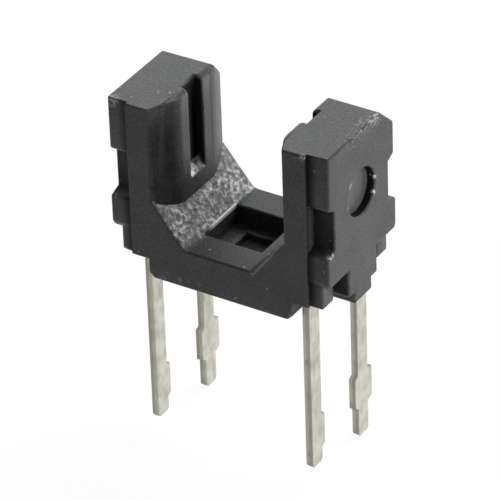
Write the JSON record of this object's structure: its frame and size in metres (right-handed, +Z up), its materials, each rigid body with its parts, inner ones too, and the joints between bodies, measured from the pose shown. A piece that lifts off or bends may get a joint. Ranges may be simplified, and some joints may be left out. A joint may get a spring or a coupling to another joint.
{
  "type": "slotted optical switch",
  "caption": "Miniature U-shaped slotted optical switch: a black moulded housing whose arms hold an infrared emitter and a phototransistor facing across a gap, on flat tinned leads.",
  "frame": {"origin": "middle of the seating face, the underside of the standing block that rests on the board", "axes": "+Z up, from the board to the tops of the arms; +X from the emitter's arm to the detector's arm; -Y the front, the side with the square top edge; the leads go down under z = 0"},
  "size_m": [0.006, 0.0032, 0.0095],
  "materials": {
    "housing": "matte black moulding, finely grained",
    "emitter_capsule": "smooth dark infrared-passing resin",
    "detector_capsule": "smooth dark infrared-passing resin",
    "emitter_chip": "polished semiconductor",
    "detector_chip": "polished semiconductor",
    "lead": "tin plated, satin",
    "bond_wire": "drawn gold"
  },
  "bodies": {
    "root": {"housing": "housing", "emitter_capsule": "emitter_capsule", "detector_capsule": "detector_capsule", "emitter_chip": "emitter_chip", "detector_chip": "detector_chip", "anode_lead": "lead", "cathode_lead": "lead", "collector_lead": "lead", "emitter_lead": "lead", "anode_wire": "bond_wire", "base_wire": "bond_wire"}
  },
  "joints": []
}
